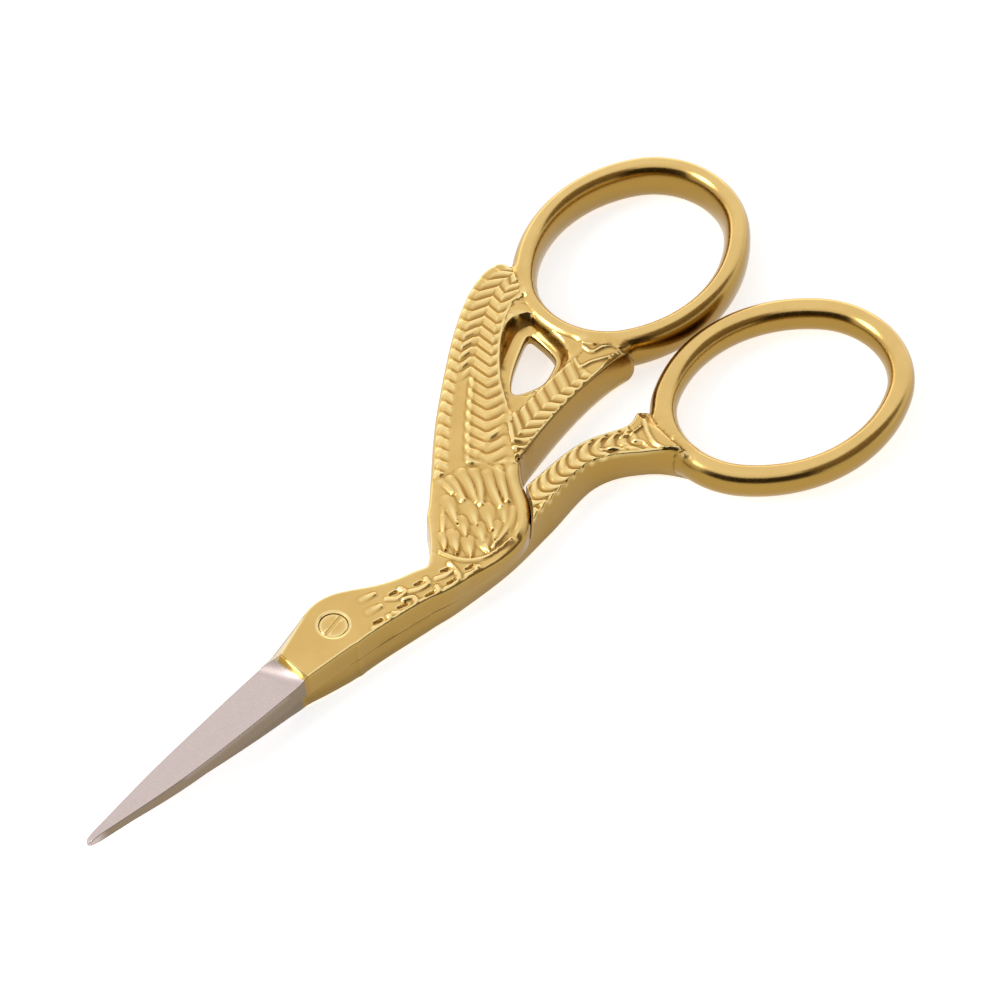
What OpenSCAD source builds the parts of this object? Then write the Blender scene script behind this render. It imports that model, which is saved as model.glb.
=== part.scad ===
// Stork embroidery scissors, closed, lying flat.
// The pivot axis is the Z axis, the rest plane is z = 0, the blade tips point to -Y
// and the finger rings to +Y. Sizes are in millimetres.

/* [Overall] */
// Distance from the pivot to the blade tips
blade_reach = 29.4; // [25:0.2:34]
// Thickness of the head, both halves together
head_h = 4.6; // [4:0.1:6]
// Gap between the flat faces on which the halves slide
lap_gap = 0.05; // [0.02:0.01:0.1]
// Gap between the halves where their edges face each other
seam_gap = 0.2; // [0.1:0.05:0.35]

/* [Blades] */
// Width of a blade at its root
blade_w = 4.6; // [4.2:0.1:5.5]
// Radius of the blade tips
tip_r = 0.3; // [0.25:0.05:0.6]
// Thickness of one blade at the root of its spine
spine_h = 1.9; // [1.4:0.1:2.1]
// Thickness of one blade at its tip
tip_h = 0.5; // [0.4:0.05:1]
// Thickness of one blade at the root of its cutting edge
edge_h = 0.35; // [0.3:0.05:0.8]
// Length of the back blade's thick heel, which thins out evenly from the head
heel_len = 15.5; // [8:0.5:20]
// How far each spine stands out past the other blade's cutting edge
spine_step = 0.3; // [0.2:0.1:0.8]

/* [Head and neck] */
// Distance from the pivot to the front of the head
head_front = 5.5; // [4.5:0.5:6.5]
// Width of the head at the pivot
head_w = 6; // [5:0.1:7]
// Distance from the pivot to the base of the neck
neck_len = 11.2; // [10:0.2:12.5]
// Width of the neck at its narrowest
neck_w = 3.1; // [2.8:0.1:4]
// Sideways distance from the pivot to the middle of the neck's base
neck_shift = 3.3; // [2.4:0.1:3.6]

/* [Body] */
// Width of the stork's body across the breast
breast_w = 9.1; // [8.4:0.1:9.6]
// Width of the folded wing half way along the body
wing_w = 7; // [6:0.1:7.5]
// Width of the wing where it meets the finger ring
tail_w = 4.3; // [3.6:0.1:5]
// How far the wing bows outwards from a straight line
wing_bow = 2.1; // [1.6:0.1:3.2]

/* [Legs] */
// Thickness of the legs and feet
leg_h = 4; // [3:0.1:4.6]
// Width of the front half's leg
front_leg_w = 3; // [2.6:0.1:3.8]
// Width of the back half's leg
back_leg_w = 2.2; // [2:0.1:3]
// Distance from the pivot to the place where the legs part
crotch_y = 22.5; // [22:0.1:23.5]
// Width of the feet where they meet the finger rings
foot_w = 6; // [5:0.1:7]

/* [Finger rings] */
// Length of a ring, between the middles of its tube
ring_len = 23.2; // [21:0.2:26]
// Width of a ring, between the middles of its tube
ring_w = 18; // [17:0.2:19.4]
// Radius of the round ends of a ring, at the middle of its tube
ring_end_r = 7.6; // [7:0.1:8.2]
// Width of the ring's tube
tube_w = 2.4; // [2:0.1:3]
// Height of the tube of the front half's ring
front_tube_h = 4.4; // [3.4:0.1:4.6]
// Height of the tube of the back half's ring
back_tube_h = 3.2; // [2.8:0.1:4.4]
// Gap between the closed rings
ring_gap = 0.4; // [0.3:0.05:1]
// Distance along Y from the pivot to the middle of the front half's ring
front_ring_y = 50.2; // [48:0.2:53]
// Distance along Y from the pivot to the middle of the back half's ring
back_ring_y = 47.6; // [46:0.5:50]
// Turn of the front half's ring, anticlockwise from above
front_ring_turn = 6; // [0:1:12]
// Turn of the back half's ring, clockwise from above
back_ring_turn = 13; // [6:1:18]

/* [Pivot screw] */
// Diameter of the screw's shank in the front half
shank_d = 1.8; // [1.4:0.1:2.2]
// Clearance round the shank, measured on the radius
shank_play = 0.03; // [0.01:0.01:0.08]
// Diameter of the thread in the back half
thread_d = 1.5; // [1:0.1:1.7]
// Diameter of the screw's head
screw_d = 2.6; // [2.4:0.1:3]
// Thickness of the screw's head
screw_h = 0.8; // [0.5:0.1:1.2]
// Width of the groove round the screw's head
screw_groove = 0.2; // [0.1:0.05:0.4]
// How far the screw's head lies below the face of the stork's head
screw_sink = 0.08; // [0:0.02:0.2]
// Width of the screwdriver slot
slot_w = 0.35; // [0.2:0.05:0.5]
// Depth of the screwdriver slot
slot_h = 0.3; // [0.2:0.05:0.45]
// Direction of the slot from +X, anticlockwise
slot_turn = 100; // [0:5:175]

/* [Hidden] */
gold = "goldenrod";
far = 200;
steps = 8;
lap_z = head_h / 2;
front_lap_z = lap_z + lap_gap / 2;
back_lap_z = lap_z - lap_gap / 2;

// Finger rings: each is an oval of two end arcs and two side arcs that meet tangentially
half_len = ring_len / 2;
half_w = ring_w / 2;
end_shift = half_len - ring_end_r;
ring_side_r = (end_shift ^ 2 + half_w ^ 2 - ring_end_r ^ 2) / (2 * (half_w - ring_end_r));
side_shift = ring_side_r - half_w;
arc_turn = atan2(end_shift, side_shift);
function ring_reach(turn) = ring_side_r - side_shift * cos(turn);
front_ring = [-(ring_gap + tube_w) / 2 - ring_reach(front_ring_turn), front_ring_y];
back_ring = [(ring_gap + tube_w) / 2 + ring_reach(back_ring_turn), back_ring_y];

// Point of a ring's lower end arc in a direction from the ring's middle
function end_arc_point(middle, turn, direction) =
    let (d = [cos(direction), sin(direction)])
    let (c = end_shift * [sin(turn), -cos(turn)])
    middle + (d * c + sqrt((d * c) ^ 2 - c * c + ring_end_r ^ 2)) * d;

// Places that hold the limbs together
wing_direction = 238;
front_foot_direction = 304;
back_foot_direction = 246;
chin = [0, -1];
crown = [0.2, 1.2];
neck_base = [neck_shift, neck_len];
tail = end_arc_point(front_ring, front_ring_turn, wing_direction);
front_foot = end_arc_point(front_ring, front_ring_turn, front_foot_direction);
back_foot = end_arc_point(back_ring, -back_ring_turn, back_foot_direction);

// Smooth curve through a list of values or points, with steps between one and the next
function ahead(list, i) = i + 1 < len(list) ? list[i + 1] : 2 * list[i] - list[i - 1];
function behind(list, i) = i > 0 ? list[i - 1] : 2 * list[0] - list[1];
function between(p0, p1, p2, p3, t) =
    p1 + t / 2 * (p2 - p0 + t * (2 * p0 - 5 * p1 + 4 * p2 - p3 + t * (3 * (p1 - p2) + p3 - p0)));
function smooth(list) = [
    for (i = [0:len(list) - 2])
        for (j = [0:steps - 1])
            between(behind(list, i), list[i], list[i + 1], ahead(list, i + 1), j / steps),
    list[len(list) - 1]
];

// Outline of a limb whose half widths are set off to both sides of its middle line
function direction_at(line, i) =
    let (v = line[min(i + 1, len(line) - 1)] - line[max(i - 1, 0)])
    v / norm(v);
function side(line, halves, sign) = [
    for (i = [0:len(line) - 1])
        let (d = direction_at(line, i))
        line[i] + sign * halves[i] * [-d.y, d.x]
];
function limb(points, halves, grow = 0) =
    let (line = smooth(points))
    let (w = [for (h = smooth(halves)) h + grow])
    let (right = side(line, w, -1))
    concat(side(line, w, 1), [for (i = [len(right) - 1:-1:0]) right[i]]);

// Point part of the way from a to b, set off to the left
function on_way(a, b, share, left) =
    let (d = (b - a) / norm(b - a))
    a + share * (b - a) + left * [-d.y, d.x];

// Head, neck and body of the stork in one limb, from the pivot to the front half's ring
nape = on_way(crown, neck_base, 0.4, -0.25);
throat = on_way(crown, neck_base, 0.7, -0.15);
breast = on_way(neck_base, tail, 0.16, -1.35);
flank = on_way(neck_base, tail, 0.31, -0.2);
wing = on_way(neck_base, tail, 0.5, 0.52 * wing_bow);
wing_top = on_way(neck_base, tail, 0.76, wing_bow);
rump = on_way(neck_base, tail, 0.92, 0.8 * wing_bow);
body_line = [chin, crown, nape, throat, neck_base, breast, flank, wing, wing_top, rump, tail];
body_halves = [
    0.45 * head_w, 0.47 * head_w, 0.6 * neck_w, neck_w / 2, 0.55 * neck_w, breast_w / 2,
    (breast_w + wing_w) / 4, wing_w / 2, (wing_w + tail_w) / 4, tail_w / 2, tube_w / 2
];

// The strip of the back half, from the pivot under the neck and out into its leg and foot
breast_side = [neck_shift, 0.75 * crotch_y];
leg_root = [0.97 * neck_shift, crotch_y];
back_knee = on_way(leg_root, back_foot, 0.45, 1.1);
back_ankle = on_way(leg_root, back_foot, 0.78, -0.15);
back_line = [
    chin, crown, nape, throat, neck_base, breast_side, leg_root, back_knee, back_ankle, back_foot
];
back_halves = [
    0.45 * head_w, 0.47 * head_w, 0.6 * neck_w, neck_w / 2, 0.56 * neck_w, 0.62 * neck_w,
    0.68 * back_leg_w, back_leg_w / 2, 0.28 * foot_w, foot_w / 2
];

// Leg of the front half, from inside the body to its foot
hip = [-0.7 * neck_shift, crotch_y];
front_knee = on_way(hip, front_foot, 0.45, 0.4);
front_ankle = on_way(hip, front_foot, 0.82, -0.5);
front_leg_line = [hip, front_knee, front_ankle, front_foot];
front_leg_halves = [0.55 * front_leg_w, front_leg_w / 2, 0.31 * foot_w, 0.44 * foot_w];

// Outline of a blade with its cutting edge on the left, from the head to the tip
tip_x = -0.3;
tip_start = tip_r - blade_reach;
blade_len = blade_reach - head_front;
blade_side = [
    [blade_w / 2, -head_front], [0.94 * blade_w / 2, -head_front - 0.3 * blade_len],
    [0.72 * blade_w / 2, -head_front - 0.62 * blade_len], [tip_r, tip_start]
];
tip_steps = 6;
function blade_edge(sign, step) = [
    for (p = smooth(blade_side))
        let (root_share = (p.y - tip_start) / (-head_front - tip_start))
        [tip_x * (1 - root_share) + sign * (p.x + step * root_share), p.y]
];
function blade_outline(left_step, right_step) = concat(
    [[-head_w / 2 - left_step, crown.y / 2], [-head_w / 3, 2 * crown.y], [head_w / 2, crown.y]],
    blade_edge(1, right_step),
    [for (i = [1:tip_steps - 1]) let (a = -180 * i / tip_steps) [tip_x, tip_start] + tip_r * [cos(a), sin(a)]],
    [for (i = [len(smooth(blade_side)) - 1:-1:0]) blade_edge(-1, left_step)[i]]
);

// Everything above the plane through three points, taken anticlockwise from above
module above_plane(a, b, c) {
    x = (b - a) / norm(b - a);
    n = cross(b - a, c - a) / norm(cross(b - a, c - a));
    y = cross(n, x);
    multmatrix([[x.x, y.x, n.x, a.x], [x.y, y.y, n.y, a.y], [x.z, y.z, n.z, a.z], [0, 0, 0, 1]])
        translate([-far / 2, -far / 2, 0]) cube([far, far, far]);
}

module slab(outline, z0, z1) {
    translate([0, 0, z0]) linear_extrude(z1 - z0) polygon(outline);
}

module leg_slab(outline) {
    slab(outline, lap_z - leg_h / 2, lap_z + leg_h / 2);
}

// Rounded oval section of the ring's tube
tube_sides = 20;
tube_fullness = 2.4;
function rounded(v) = sign(v) * abs(v) ^ (2 / tube_fullness);
module tube_section(height) {
    polygon([
        for (i = [0:tube_sides - 1])
            let (a = 360 * (i + 0.5) / tube_sides)
            [tube_w / 2 * rounded(cos(a)), height / 2 * rounded(sin(a))]
    ]);
}

module tube_arc(middle, r, height, start, sweep) {
    translate([middle.x, middle.y, 0])
        rotate_extrude(angle = sweep, start = start, $fn = 96) translate([r, 0]) tube_section(height);
}

module finger_ring(middle, height, turn) {
    end_sweep = 180 - 2 * arc_turn;
    translate([middle.x, middle.y, lap_z]) rotate([0, 0, turn]) union() {
        tube_arc([0, end_shift], ring_end_r, height, arc_turn, end_sweep);
        tube_arc([0, -end_shift], ring_end_r, height, 180 + arc_turn, end_sweep);
        tube_arc([-side_shift, 0], ring_side_r, height, -arc_turn, 2 * arc_turn);
        tube_arc([side_shift, 0], ring_side_r, height, 180 - arc_turn, 2 * arc_turn);
    }
}

// Outer half of a blade's thickness: a flat bevel from the spine down to the cutting edge,
// with a short steep ramp where it leaves the head. The cutting edge is on the left.
ramp_len = 1.8;
module blade_bevel() {
    root_left = [-blade_w / 2, -head_front, front_lap_z + edge_h];
    root_right = [blade_w / 2, -head_front, front_lap_z + spine_h];
    tip = [tip_x, -blade_reach, front_lap_z + tip_h];
    ramp_top = [0, -head_front, head_h];
    ramp_foot = [0, -head_front - ramp_len, front_lap_z + edge_h];
    intersection() {
        above_plane(root_left, tip, root_right);
        above_plane(ramp_foot, ramp_foot + [1, 0, 0], ramp_top);
    }
}

// The back blade's heel: everything above a slope that falls evenly from the face of the head
module above_heel() {
    heel_top = [0, -head_front, head_h];
    heel_foot = [0, -head_front - heel_len, front_lap_z];
    above_plane(heel_foot, heel_foot + [1, 0, 0], heel_top);
}

module front_blade() {
    difference() {
        slab(blade_outline(0, 0), front_lap_z, head_h);
        blade_bevel();
    }
}

// The back half's blade is the front one turned over about the Y axis, with a thicker heel
module back_blade() {
    difference() {
        slab(blade_outline(spine_step, -spine_step), 0, back_lap_z);
        translate([2 * tip_x, 0, head_h]) rotate([0, 180, 0]) intersection() {
            blade_bevel();
            above_heel();
        }
    }
}

// Space of the back half's flat strip, cleared out of the front half
module under_lap() {
    slab(limb(back_line, back_halves, seam_gap), -1, front_lap_z);
    translate([-far / 2, -far, -1]) cube([far, far + neck_len - 0.8, front_lap_z + 1]);
    translate([breast_side.x, 0, -1]) cube([far, crotch_y, front_lap_z + 1]);
}

// Space of the front half's neck and breast, cleared out of the back half
module over_lap() {
    slab(limb(body_line, body_halves, seam_gap), back_lap_z, head_h + 1);
    translate([-far / 2, -far, back_lap_z]) cube([far, far + 0.82 * crotch_y, head_h]);
}

module front_half() {
    color(gold) difference() {
        union() {
            difference() {
                union() {
                    slab(limb(body_line, body_halves), 0, head_h);
                    leg_slab(limb(front_leg_line, front_leg_halves));
                }
                under_lap();
            }
            front_blade();
            finger_ring(front_ring, front_tube_h, front_ring_turn);
        }
        translate([0, 0, -1]) cylinder(h = head_h + 2, d = shank_d + 2 * shank_play, $fn = 48);
        translate([0, 0, head_h - screw_sink - screw_h])
            cylinder(h = head_h, d = screw_d + 2 * screw_groove, $fn = 64);
    }
}

module back_half() {
    color(gold) difference() {
        union() {
            difference() {
                union() {
                    leg_slab(limb(back_line, back_halves));
                    intersection() {
                        slab(limb(back_line, back_halves), 0, lap_z);
                        translate([-far / 2, -far, -1]) cube([far, far + leg_root.y, far]);
                    }
                }
                over_lap();
            }
            back_blade();
            finger_ring(back_ring, back_tube_h, -back_ring_turn);
        }
        translate([0, 0, -1]) cylinder(h = head_h + 2, d = thread_d, $fn = 48);
    }
}

module pivot_screw() {
    head_top = head_h - screw_sink;
    color(gold) difference() {
        union() {
            cylinder(h = head_top - slot_h, d = thread_d, $fn = 48);
            translate([0, 0, back_lap_z])
                cylinder(h = head_top - slot_h - back_lap_z, d = shank_d, $fn = 48);
            translate([0, 0, head_top - screw_h + shank_play])
                cylinder(h = screw_h - shank_play, d = screw_d, $fn = 64);
        }
        translate([0, 0, head_top - slot_h / 2 + 0.5]) rotate([0, 0, slot_turn])
            cube([2 * screw_d, slot_w, slot_h + 1], center = true);
    }
}

front_half();
back_half();
pivot_screw();
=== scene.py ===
import math
from functools import partial

import bpy
import numpy as np
from bpy.props import FloatProperty, FloatVectorProperty, PointerProperty
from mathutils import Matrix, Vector


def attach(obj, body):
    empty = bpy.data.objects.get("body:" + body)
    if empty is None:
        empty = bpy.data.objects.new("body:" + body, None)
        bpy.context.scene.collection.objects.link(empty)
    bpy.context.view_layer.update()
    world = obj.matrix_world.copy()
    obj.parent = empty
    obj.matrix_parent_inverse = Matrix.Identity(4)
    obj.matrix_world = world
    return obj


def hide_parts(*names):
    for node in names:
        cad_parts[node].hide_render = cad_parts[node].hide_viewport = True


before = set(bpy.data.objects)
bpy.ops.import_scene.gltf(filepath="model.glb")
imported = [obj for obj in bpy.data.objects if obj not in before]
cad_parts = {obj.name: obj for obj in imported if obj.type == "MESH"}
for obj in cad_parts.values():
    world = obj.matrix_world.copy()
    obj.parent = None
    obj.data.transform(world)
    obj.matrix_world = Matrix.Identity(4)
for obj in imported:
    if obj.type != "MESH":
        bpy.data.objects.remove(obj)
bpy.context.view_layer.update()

bl_info = {
    "name": "Stork Embroidery Scissors",
    "version": (1, 0, 0),
    "blender": (4, 5, 0),
    "location": "View3D > Sidebar > Scissors",
    "description": "Makes gilt stork embroidery scissors round their solid frame",
    "category": "Add Mesh",
}

MM = 0.001

# Fineness of the grids
BODY_ACROSS = 56, 36   # points across the top and bottom of the front half's long limb
BACK_ACROSS = 56, 40   # of the back half's
LEG_ACROSS = 36, 24    # and of the front leg
ROUND_STEPS = 5        # points of a shoulder
WALL_STEPS = 6         # points of a wall between its shoulders
RING_STATIONS = 240    # sections of a finger ring
TUBE_SIDES = 32        # points of a ring's section
TURNED_SIDES = 96      # points round a turned solid
LIP_STEPS = 14         # points from knot to knot of the opening, and up its ledge
STRIDE = 3             # distances from a limb look at every third section
CHUNK = 8000           # and at this many points at a time
SHARP = 32             # degrees past which an edge is shaded sharp

# Shapes beside the sizes, in millimetres and degrees
FAR = 200.0            # reach of the blocks that cut the laps
TAIL_AT, FRONT_FOOT_AT, BACK_FOOT_AT = 238, 304, 246    # where the limbs meet their rings
TUBE_FULLNESS = 2.12   # exponent of a ring's section
TUBE_FILL = .1         # added to the width and height of the tubes
TIP_X = -.3            # sideways place of the tips
NOSE_LEN = .9          # the blades' faces drop over this length at the tips
NOSE_DROP = .28        # by this much
BLADE_TRIM = .28       # taken off the blades' left edges at mid length, to straighten them
BLADE_ROUND = .05, .08    # largest radii of a blade's left and right upper edges
RAMP_LEN = 1.9         # length of the hollow ramp from the head down to the bevel
RAMP_HOLLOW = 1.7      # exponent of the ramp, 1 for a straight one
SOFT = .3              # faces that meet flow into each other over this height
SOFT_EDGE = .16        # and over this one where a face leaves the flat of the head
SOFT_RAMP = .08        # and over this one on the ramp
CHEEK_X = 1.1          # the head's facet is this far to the side of the pivot at the blade
CHEEK_RUN = 1.75       # and this much further beside the pivot
CHEEK_RISE = 1.6       # its outer edge rises by this much on the way
HEAD_END = 3.5         # the faces of heads and blades end this far behind the pivot
HEAD_AT = -.03, -3.5   # a point of both middle lines between blade and pivot
HEAD_HALF = 2.5        # half the head's width there
HEAD_FILL = .35 / .3   # share of the back blade's step that the head's side takes back
LOW_ROUND = .3         # largest radius of the lower edges
BOX_ROUND = .4, .3     # edge radii of long and short limbs, for distances from them
SHOULDER_SHARE = .42   # most that a shoulder takes of a wall
BODY_LENGTH = 49.42    # length along which the body's relief is laid out
LIP_HALF = .62         # half the thickness of the ledge round the opening
LIP_ROUND = .3         # radius of its edge
LIP_FLAT = .42         # width of its level part
LIP_RISE = 1.15        # rise of its slope
LIP_SLOPE = .95        # width of its slope
LIP_MORE = .72, .2     # more width and rise on the body's side
SEAT_EDGE = .175       # width of the rounded edge round the screw's seat
SLOT_SHARE = .28       # the slot is cut to this share of the solids' depth

# Relief, in millimetres
AMP = .24              # height of the bars on the legs
BAR_MEAN = .6          # share of a bar's height that lies below the plain face
WING_AMP = .2          # height of the feathers
WING_PITCH, LEG_PITCH, BACK_PITCH = 1.28, 1.28, 1.22    # from one feather or bar to the next
RISES = (33, 5), (38, 4), (42, 3)    # where each line of ZIGZAG gives way to the next, and how fast

# Marks for the metal
PLAIN_AREA = .3        # a level face larger than this, in mm2, is plain ground
CALM = .4              # the marks grow weak this near the screw's head
LINK = .5              # edges longer than this don't count
BEND = 6               # most that a mark of bend may be
PATCHES, DENTS, GRAIN = 260.0, 900.0, 2600.0    # scales of the noises, per metre

# Columns of a limb's rows after x and y. The tables below give, for each point of a middle line,
# what is added to the half width on the left and right, and then the columns from "top" on.
KEYS = ("half", "left", "right", "top", "bottom", "round_left", "round_right", "swell_left",
        "swell_right", "lean")
BODY_TABLE = (
    (0, 0, 4.6, 0, .12, .12, 0, 0, .4), (.05, 0, 4.6, 0, .14, .14, 0, 0, .4),
    (.4, 0, 4.56, .04, .45, .25, 0, 0, .45), (.35, 0, 4.5, .1, .45, .3, 0, 0, .42),
    (.6, 0, 4.5, .1, .5, .4, 0, 0, 0), (0, 0, 4.5, .1, .7, 1, 0, 0, .1),
    (0, 0, 4.5, .1, .75, .9, .1, 0, .1), (.1, 0, 4.5, .1, .7, .4, .12, .1, 0),
    (.05, 0, 4.5, .1, .6, .25, .12, .1, 0), (.3, 0, 4.46, .14, .3, .25, .12, .1, 0),
    (.8, 0, 4.3, .3, .25, .25, .1, .1, 0),
)
BACK_TABLE = (
    (0, .35, 4.6, .3, .12, .12, 0, 0, -.35), (0, .4, 4.6, .3, .14, .14, 0, 0, -.4),
    (.3, .45, 4.56, .3, .3, .3, 0, 0, -.45), (.2, .42, 4.5, .3, .3, .35, 0, 0, -.42),
    (0, -.1, 4.5, .3, .3, .4, 0, 0, 0), (0, .1, 4.5, .3, .3, .5, 0, 0, -.1),
    (.2, .25, 4.4, .35, .3, .35, 0, 0, -.7), (.55, 0, 4.25, .38, .25, .25, .1, .1, -.4),
    (.4, -.3, 4.2, .4, .25, .25, .1, .1, .2), (.2, 2.5, 4.1, .5, .25, .25, .1, .1, -1.2),
)
LEG_TABLE = (
    (0, 0, 4.25, .35, .3, .3, 0, 0, .6), (0, 0, 4.22, .38, .25, .22, .1, .1, .45),
    (.3, -1, 4.2, .4, .25, .4, .1, .1, .5), (0, -.7, 4.1, .5, .25, .8, .1, .1, 1.4),
)

# Most that the body reaches to the right, from its distance along the limb
WING_EDGE = (
    (18, 9), (21, 4.65), (25.2, 3.95), (28, 3.3), (29.2, 3.2), (31.4, 3.1), (32.6, 2.85),
    (33.8, 2.48), (35.2, 2.1), (37.6, 1.79), (40, 1.63), (42.6, 1.62), (45, 1.7), (46.9, 2.1),
    (49.6, 4),
)

# Outline of the opening, from the front foot, and the width of its ledge by direction
WINDOW = (
    (-6.45, -4.6), (-5.37, -4.42), (-3.37, -4.72), (-2.47, -5.42), (-1.8, -7.4), (-1.97, -8.77),
    (-2.65, -10.25), (-3.4, -10.2), (-4.57, -8.72), (-5.75, -6.5),
)
LIP_REACH = (
    (-180, 3.9), (-90, 3.9), (-45, 3.6), (0, 2.7), (45, 3.1), (90, 2), (135, 3.6), (180, 3.9),
)

# Lines of the wing's feathers: place across the body from 1 to -1, and how far the row leads
ZIGZAG = (
    ((1, .23), (.85, .2), (.65, -.27), (.5, -.22), (.27, .73), (.15, .27), (-.25, -.65),
        (-.35, -.57), (-.55, -.17), (-.7, .2), (-1, .23)),
    ((1, .14), (.62, -.48), (.35, .42), (.18, .47), (-.3, -.66), (-.55, -.16), (-.8, .14),
        (-1, .24)),
    ((1, -.55), (.66, -.77), (.55, -.6), (.15, .27), (-.3, -.51), (-.6, -.2), (-.8, .2),
        (-1, .35)),
    ((1, -1.06), (.75, -1.04), (.15, .14), (-.25, -.43), (-.95, 1.21)),
)

# Strokes laid over a face: width at the start and end, height, and then x and y of points of its
# middle line, from the neck's root or the foot
FLUTES = (
    (.46, .3, .25, -7.48, 6.76, -6.78, 6.8, -5.85, 6.59),
    (.55, .41, .32, -7.06, 7.47, -6.04, 7.18, -4.65, 6.62),
    (.64, .36, .36, -6.89, 8.72, -5.43, 8.22, -3.52, 7.22),
    (.6, .36, .36, -6.18, 9.53, -4.78, 8.83, -3.1, 7.3),
    (.64, .36, .36, -5.11, 10.22, -3.7, 9.37, -1.65, 8.35),
    (.57, .33, .34, -4.79, 11.31, -3.28, 10.22, -1.72, 9.21),
    (.46, .41, .26, -4.91, 12.75, -3.39, 11.52, -1.91, 10.58, -.65, 9.75, .63, 8.64, 1.51, 7.17),
)
SCALES = (
    (.72, .2, .36, -5.62, 5.57, -4.52, 5.05, -3.19, 4.3),
    (.82, .2, .36, -3.8, 6.49, -2.77, 5.92, -1.75, 5.34),
    (.79, .2, .36, -2.47, 7.28, -1.51, 6.64, -.47, 5.92),
    (.6, .2, .3, -1.66, 8.49, -.84, 7.88, -.09, 7.2),
    (.66, .18, .34, -3.16, 4.78, -2.36, 4.32, -1.61, 3.79),
    (.7, .18, .34, -1.54, 5.38, -.8, 4.85, -.06, 4.33),
    (.6, .18, .3, -.53, 6.63, -.06, 6, .48, 5.29),
    (.48, .18, .32, -3.24, 2.42, -2.57, 1.98, -1.97, 1.48),
    (.72, .18, .36, -2.67, 3.11, -1.79, 2.56, -.97, 1.96),
    (.72, .18, .36, -1.24, 3.53, -.51, 3, .23, 2.48),
    (.66, .18, .34, -.2, 4.35, .37, 4.12, 1.08, 3.88),
    (.43, .3, .26, -.72, 8.91, 0, 7.75, .54, 6.26, .87, 4.75),
    (.2, .2, .2, -5.49, 4.92, -3.4, 2.72),
    (.24, .24, .22, -2.14, 1.01, -.99, 1.33, .14, 1.94, 1.08, 3.12, 1.43, 4.66, 1.44, 6.34),
)
LOOPS = (
    (.29, .31, .24, -.52, -9.13, -.04, -8.38, .02, -7.44, -.48, -7.17),
    (.29, .29, .24, -.39, -6.64, .24, -5.91, .41, -4.71, -.32, -4.2, -.81, -4.95),
    (.29, .29, .24, .43, -4.09, .98, -3.28, .9, -2.31, .32, -1.96),
    (.29, .26, .24, 1.05, -1.58, 1.26, -.78, 1.05, .08, .33, .45, -.59, .65),
    (.26, .26, .2, -1.95, -6.02, -1.33, -5.29, -1.27, -4.34, -1.89, -4.32),
    (.26, .26, .2, -1.09, -4.02, -.61, -3.13, -.48, -2.26, -.99, -1.98),
    (.26, .26, .2, -.35, -1.38, .05, -.4, .05, .49, -.65, .59),
    (.26, .24, .22, 1.34, .65, 1.61, 1.65, 1.21, 2.33, .68, 1.99),
    (.36, .24, .16, -3.47, -7.59, -3.1, -6.35),
    (.41, .29, .16, -2.12, -8.11, -1.81, -6.93),
)
PITS = (
    (.16, .2, .31, -.86, -8.61, -.68, -7.9),
    (.16, .2, .31, -.53, -5.93, -.35, -5.23),
    (.16, .2, .31, .34, -3.33, .48, -2.66),
    (.16, .2, .31, .76, -1.01, .91, -.43),
    (.14, .18, .27, .86, 1.18, 1.01, 1.76),
    (.16, .2, .27, -2.03, -5.42, -1.89, -4.85),
    (.16, .2, .27, -1.2, -3.14, -1.05, -2.57),
    (.16, .2, .27, -.57, -.47, -.32, .08),
)
SCROLLS = (
    (.3, .24, .26, -3.99, -2.91, -2.75, -3.72, -1.29, -4.63, .29, -5.42),
    (.2, .2, .22, -3.13, -2.76, -2.2, -3.37, -1.46, -2.83, -.39, -2.65, .02, -1.61, .8, -.56,
     1.41, -.96),
    (.16, .16, .16, -2.13, -2.64, -1.08, -2.15, -.58, -1.35, -.02, -.34),
    (.24, .18, .22, -1.63, -4.13, -.05, -4.77, .41, -3.52, 1.02, -2.3, 1.5, -1.2),
    (.2, .16, .16, 1.82, -3.99, 1.42, -2.74, 1.53, -1.5),
)
BRACKET = (
    (.24, .28, .34, -2.18, -6.46, -.75, -4.97, .39, -4.22, 1.71, -4.08, 2.79, -3.54, 3.12, -2.29,
     3.66, -1.16),
    (.24, .22, .3, -2.25, -.35, -1.45, -1.51, -.25, -2.3, 1.04, -2.66, 2.07, -2.33, 2.91, -1.39),
    (.2, .16, .2, -1.93, -4.33, -1.46, -3.11, -1.41, -1.95),
    (.16, .16, .18, -.78, -3.73, -.11, -3.26, 1.1, -3.4, 2.11, -2.92, 2.74, -2.01),
)


# Plain geometry in millimetres. X and Y are the plan, with the pivot at the origin,
# the tips towards -Y and the rings towards +Y. Z is the height above the rest plane.

def turned(v, degrees):
    """Points of the plan turned anticlockwise about the origin."""
    a = math.radians(degrees)
    v = np.asarray(v, float)
    x = math.cos(a) * v[..., 0] - math.sin(a) * v[..., 1]
    y = math.sin(a) * v[..., 0] + math.cos(a) * v[..., 1]
    return np.stack([x, y], -1)


def on_way(a, b, share, left):
    """Point part of the way from a to b, set off to the left of that way."""
    a, b = np.asarray(a, float), np.asarray(b, float)
    d = (b - a) / np.linalg.norm(b - a)
    return a + share * (b - a) + left * np.array([-d[1], d[0]])


def smooth_rows(rows, per_span=40):
    """Catmull-Rom curve through rows of values, per_span samples from one row to the next."""
    p = np.asarray(rows, float)
    p = np.vstack([2 * p[0] - p[1], p, 2 * p[-1] - p[-2]])
    p0, p1, p2, p3 = (q[:, None] for q in (p[:-3], p[1:-2], p[2:-1], p[3:]))
    t = (np.arange(per_span) / per_span)[None, :, None]
    q = p1 + t / 2 * (p2 - p0 + t * (2 * p0 - 5 * p1 + 4 * p2 - p3 + t * (3 * (p1 - p2) + p3 - p0)))
    return np.vstack([q.reshape(-1, p.shape[1]), p[-2]])


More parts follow.
